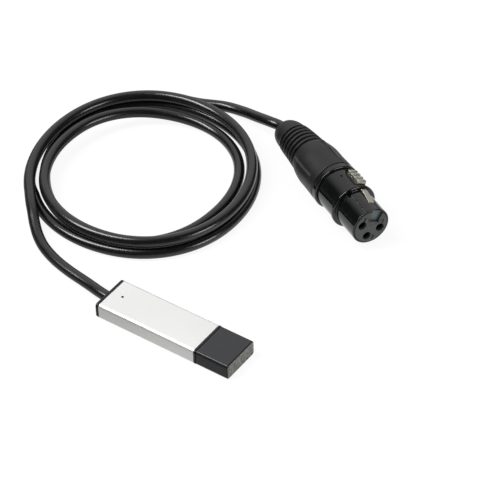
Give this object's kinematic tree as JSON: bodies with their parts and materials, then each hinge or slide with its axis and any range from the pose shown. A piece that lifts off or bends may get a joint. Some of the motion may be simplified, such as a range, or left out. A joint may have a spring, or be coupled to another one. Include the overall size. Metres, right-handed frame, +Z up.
{
  "type": "usb dmx interface",
  "caption": "Slim aluminium USB stick with charcoal end caps, a coiled round black cord and a female three-pin XLR cable connector with a sprung nickel latch, for lighting control.",
  "frame": {"origin": "The middle of the stick's underside, where the stick's box stands on the table; the cord and its connector are not counted.", "axes": "+X runs along the stick from the cord's end to the capped USB end. +Z is up, out of the stick's flat top. +Y is the side on which the cord's coil lies."},
  "size_m": [0.142, 0.1239, 0.0195],
  "materials": {
    "satin_aluminium": "satin anodised",
    "charcoal_plastic": "fine matte moulding",
    "black_rim": "gloss moulding",
    "plated_steel": "nickel plated sheet",
    "white_plastic": "satin moulding",
    "gold_plating": "gold flash",
    "board_green": "solder mask",
    "chip_black": "moulded epoxy",
    "clear_plastic": "clear, frosted top",
    "ceramic_tan": "fired ceramic",
    "wire_red": "smooth insulation",
    "wire_black": "smooth insulation",
    "wire_white": "smooth insulation",
    "cord_black": "glossy soft vinyl jacket",
    "black_paint": "gloss black coat on diecast zinc",
    "insert_grey": "matte moulding",
    "nickel": "satin nickel"
  },
  "bodies": {
    "interface": {"stick_sleeve": "satin_aluminium", "rear_end_cap": "charcoal_plastic", "front_bezel": "black_rim", "usb_shell": "plated_steel", "usb_tongue": "white_plastic", "usb_contact_1": "gold_plating", "usb_contact_2": "gold_plating", "usb_contact_3": "gold_plating", "usb_contact_4": "gold_plating", "circuit_board": "board_green", "interface_chip": "chip_black", "line_driver_chip": "chip_black", "status_led": "clear_plastic", "light_pipe": "clear_plastic", "capacitor_1": "ceramic_tan", "capacitor_2": "ceramic_tan", "fuse": "board_green", "stick_wire_1": "wire_red", "stick_wire_2": "wire_black", "stick_wire_3": "wire_white", "cord_lead": "cord_black", "cord_coil": "cord_black", "cord_tail": "cord_black", "connector_shell": "black_paint", "connector_insert": "insert_grey", "socket_contact_1": "gold_plating", "socket_contact_2": "gold_plating", "socket_contact_3": "gold_plating", "connector_wire_1": "wire_red", "connector_wire_2": "wire_black", "connector_wire_3": "wire_white", "coding_ring": "black_rim", "cord_chuck": "white_plastic", "boot": "charcoal_plastic", "latch_pin": "plated_steel", "latch_spring": "plated_steel"},
    "cap": {"usb_cap": "charcoal_plastic"},
    "latch": {"latch_lever": "nickel"}
  },
  "joints": [
    {"name": "cap_slide", "type": "slide", "parent": "interface", "child": "cap", "axis": [1, 0, 0], "range_m": [0, 0.02]},
    {"name": "latch_press", "type": "hinge", "parent": "interface", "child": "latch", "pos_m": [0.01444, 0.09094, 0.0156], "axis": [0.4136, 0.798, -0.4384], "range_deg": [0, 5], "stiffness_Nm_per_rad": 0.05, "springref_deg": -17.19, "deforming": ["latch_spring"]}
  ]
}
